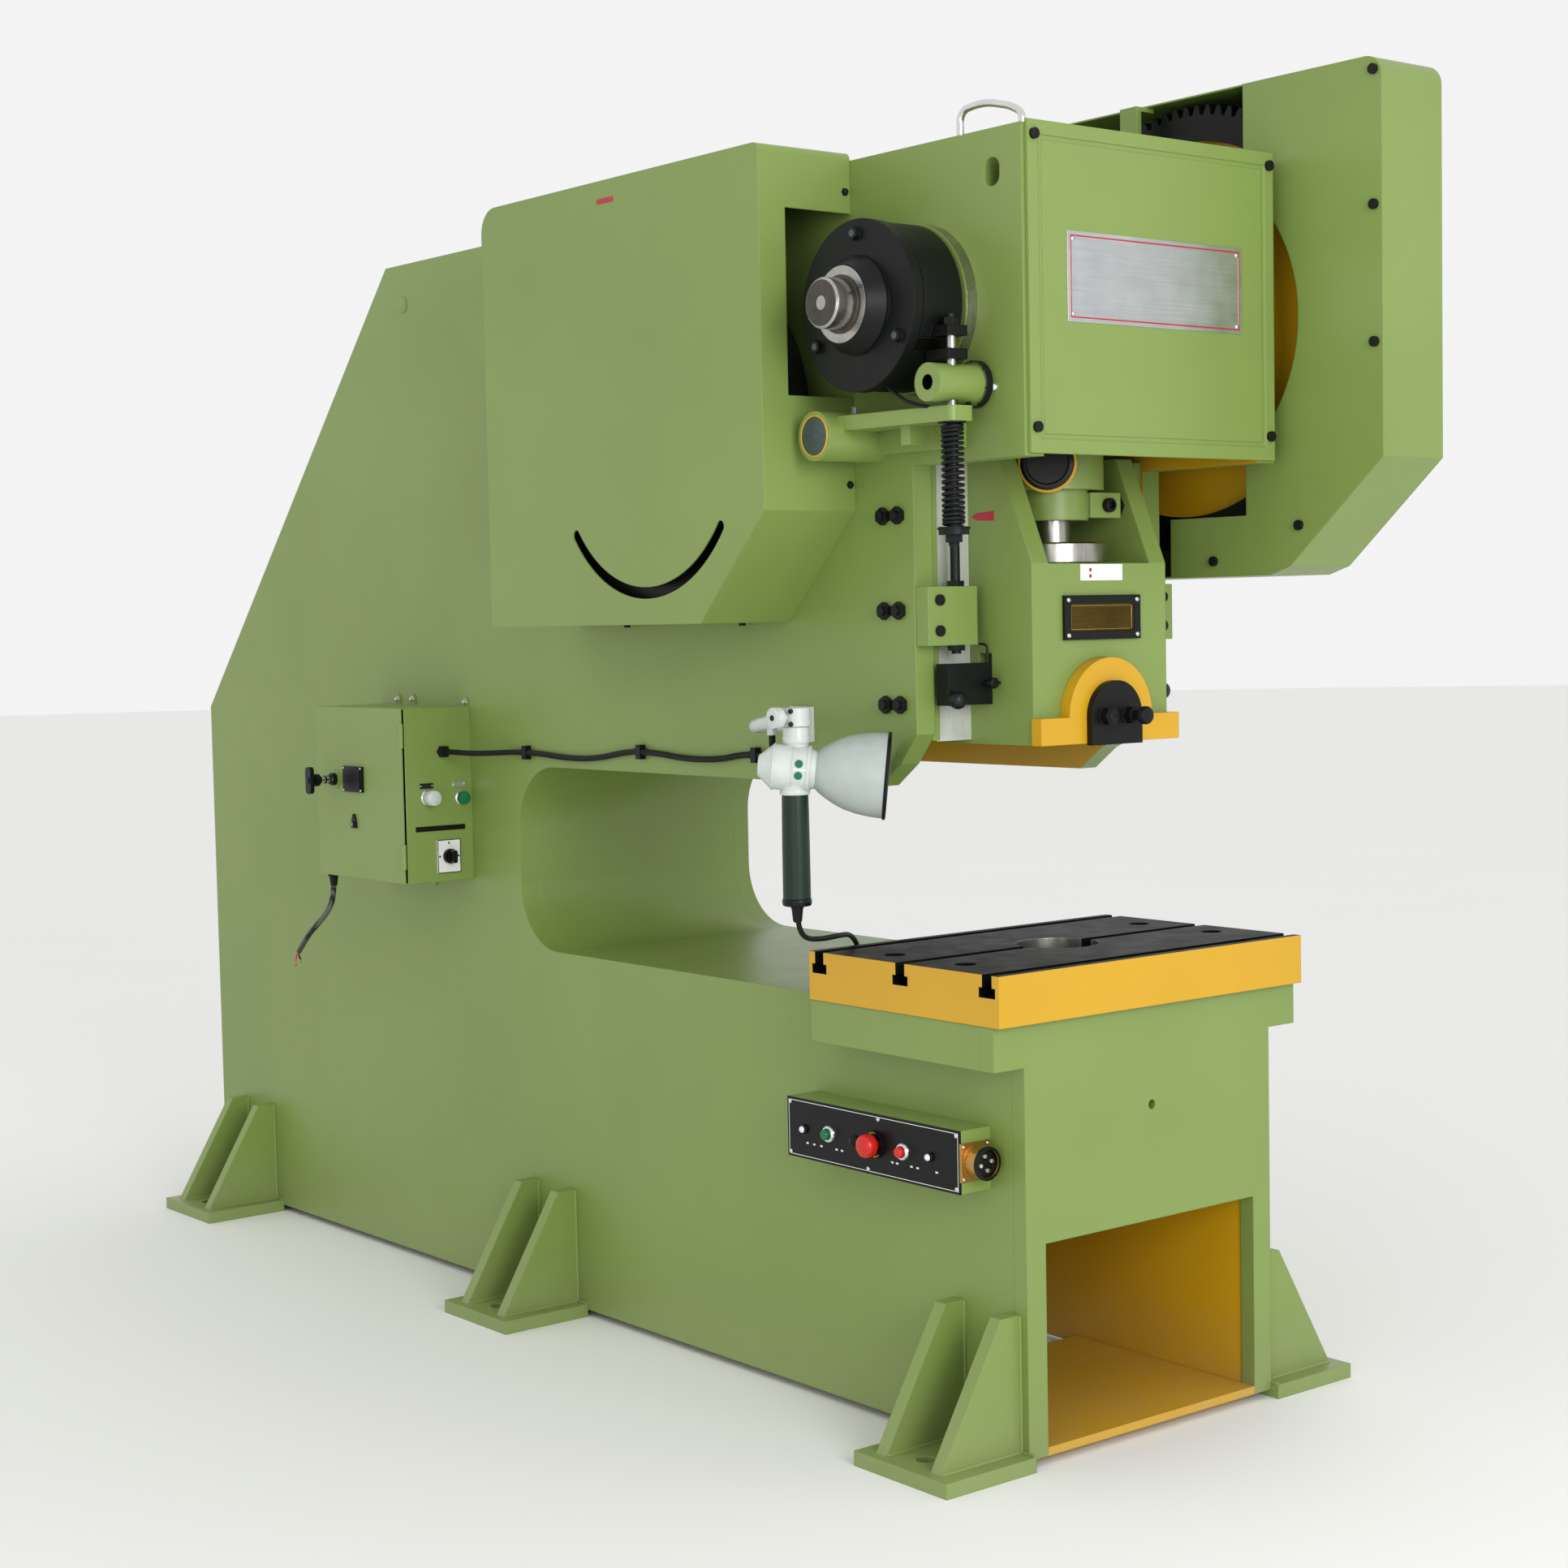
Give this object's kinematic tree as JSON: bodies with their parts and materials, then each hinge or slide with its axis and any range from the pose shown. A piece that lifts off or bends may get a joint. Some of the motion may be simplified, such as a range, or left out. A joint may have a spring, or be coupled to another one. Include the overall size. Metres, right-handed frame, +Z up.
{
  "type": "deep-throat mechanical stamping press",
  "caption": "Deep-throat C-frame crank press with a fixed T-slotted table, guided ram, geared flywheel drive under sheet guards, band brake, slug chute and work lamp.",
  "frame": {"origin": "on the floor, midway between the two middle anchor holes, which is also the centre of the four outer ones", "axes": "+X to the operator's right along the crank, +Y from the table back through the throat, +Z up along the ram"},
  "size_m": [0.9908, 3.016, 2.242],
  "materials": {
    "green_paint": "semi-gloss enamel over plate",
    "yellow_paint": "semi-gloss enamel",
    "black_paint": "semi-gloss enamel",
    "ground_steel": "ground and oiled",
    "dark_steel": "blackened",
    "chromed": "bright",
    "brass": "turned",
    "black_rubber": "matte",
    "cream_plastic": "moulded",
    "dark_green_plastic": "moulded grip",
    "red_plastic": "moulded",
    "green_plastic": "moulded",
    "black_plastic": "moulded",
    "white_enamel": "stove enamel",
    "clear_glass": "clear"
  },
  "bodies": {
    "frame": {"left_side_plate": "green_paint", "right_side_plate": "green_paint", "frame_walls": "green_paint", "front_plate": "green_paint", "chute_floor": "yellow_paint", "feet": "green_paint", "head_cover": "green_paint", "cover_screws": "dark_steel", "crank_bushes": "green_paint", "shaft_bearings": "green_paint", "table": "dark_steel", "table_bolts": "dark_steel", "gibs": "green_paint", "gib_screws": "dark_steel", "knockout_stops": "green_paint", "left_guard": "green_paint", "right_guard": "green_paint", "motor": "green_paint", "drive_belts": "black_rubber", "brake_band": "black_paint", "brake_rod": "dark_steel", "brake_spring": "dark_steel", "brake_bracket": "green_paint", "control_box": "green_paint", "switchgear": "black_plastic", "supply_wires": "black_rubber", "console_box": "green_paint", "console_panel": "black_plastic", "console_socket": "brass", "lamp_cable": "black_rubber", "cable_clips": "black_plastic", "lamp_arm": "cream_plastic", "lamp_cord": "black_rubber", "lube_pipe": "chromed"},
    "crank": {"crankshaft": "ground_steel", "brake_drum": "black_paint"},
    "slide": {"ram": "green_paint", "shank_clamp": "yellow_paint", "clamp_plate": "black_paint", "ball_screw": "ground_steel", "ring_nut": "ground_steel", "connecting_rod": "green_paint"},
    "knockout": {"knockout_bar": "dark_steel"},
    "gear": {"bull_gear": "black_paint"},
    "drive": {"drive_shaft": "ground_steel", "pinion": "black_paint", "flywheel": "black_paint"},
    "rotor": {"motor_pulley": "black_paint"},
    "door": {"box_door": "green_paint"},
    "isolator": {"isolator_handle": "black_plastic"},
    "stop": {"stop_button": "cream_plastic"},
    "start": {"start_button": "green_plastic"},
    "selector": {"selector_knob": "black_plastic"},
    "emergency": {"emergency_stop": "red_plastic"},
    "run": {"run_button": "green_plastic"},
    "inch": {"inch_button": "red_plastic"},
    "lamp": {"lamp_head": "cream_plastic", "lamp_shade": "white_enamel", "lamp_bulb": "clear_glass", "lamp_handle": "dark_green_plastic"}
  },
  "joints": [
    {"name": "crank_turn", "type": "hinge", "parent": "frame", "child": "crank", "pos_m": [0, -1.132, 1.844], "axis": [-1, 0, 0], "range_deg": [0, 180]},
    {"name": "ram_slide", "type": "slide", "parent": "frame", "child": "slide", "axis": [0, 0, 1], "range_m": [-0.1001, 0]},
    {"name": "knockout_slide", "type": "slide", "parent": "slide", "child": "knockout", "axis": [0, 0, 1], "range_m": [0, 0.015]},
    {"name": "gear_spin", "type": "hinge", "parent": "frame", "child": "gear", "pos_m": [0, -1.132, 1.844], "axis": [1, 0, 0], "continuous": true},
    {"name": "shaft_spin", "type": "hinge", "parent": "frame", "child": "drive", "pos_m": [0, -0.634, 1.66856], "axis": [1, 0, 0], "continuous": true},
    {"name": "rotor_spin", "type": "hinge", "parent": "frame", "child": "rotor", "pos_m": [0, -0.279, 1.919], "axis": [1, 0, 0], "continuous": true},
    {"name": "door_swing", "type": "hinge", "parent": "frame", "child": "door", "pos_m": [-0.4483, 0.271, 1.013], "axis": [0, 0, 1], "range_deg": [0, 110]},
    {"name": "isolator_turn", "type": "hinge", "parent": "door", "child": "isolator", "pos_m": [-0.45, 0.548, 1.039], "axis": [1, 0, 0], "range_deg": [0, 90]},
    {"name": "stop_press", "type": "slide", "parent": "frame", "child": "stop", "axis": [0, 1, 0], "range_m": [0, 0.004], "stiffness_N_per_m": 1500, "springref_m": -0.002},
    {"name": "start_press", "type": "slide", "parent": "frame", "child": "start", "axis": [0, 1, 0], "range_m": [0, 0.004], "stiffness_N_per_m": 1500, "springref_m": -0.002},
    {"name": "selector_turn", "type": "hinge", "parent": "frame", "child": "selector", "pos_m": [-0.348, 0.256, 0.887], "axis": [0, 1, 0], "range_deg": [-45, 45]},
    {"name": "emergency_press", "type": "slide", "parent": "frame", "child": "emergency", "axis": [1, 0, 0], "range_m": [0, 0.006]},
    {"name": "run_press", "type": "slide", "parent": "frame", "child": "run", "axis": [1, 0, 0], "range_m": [0, 0.004], "stiffness_N_per_m": 1500, "springref_m": -0.002},
    {"name": "inch_press", "type": "slide", "parent": "frame", "child": "inch", "axis": [1, 0, 0], "range_m": [0, 0.004], "stiffness_N_per_m": 1500, "springref_m": -0.002},
    {"name": "lamp_swivel", "type": "hinge", "parent": "frame", "child": "lamp", "pos_m": [-0.445, -0.989, 1.174], "axis": [0, 0, 1], "range_deg": [-35, 2]}
  ],
  "couplings": [
    {"joint": "ram_slide", "follows": "crank_turn", "m_per_rad": -0.031831},
    {"joint": "shaft_spin", "follows": "gear_spin", "ratio": -2.5676},
    {"joint": "rotor_spin", "follows": "gear_spin", "ratio": -13.48}
  ]
}
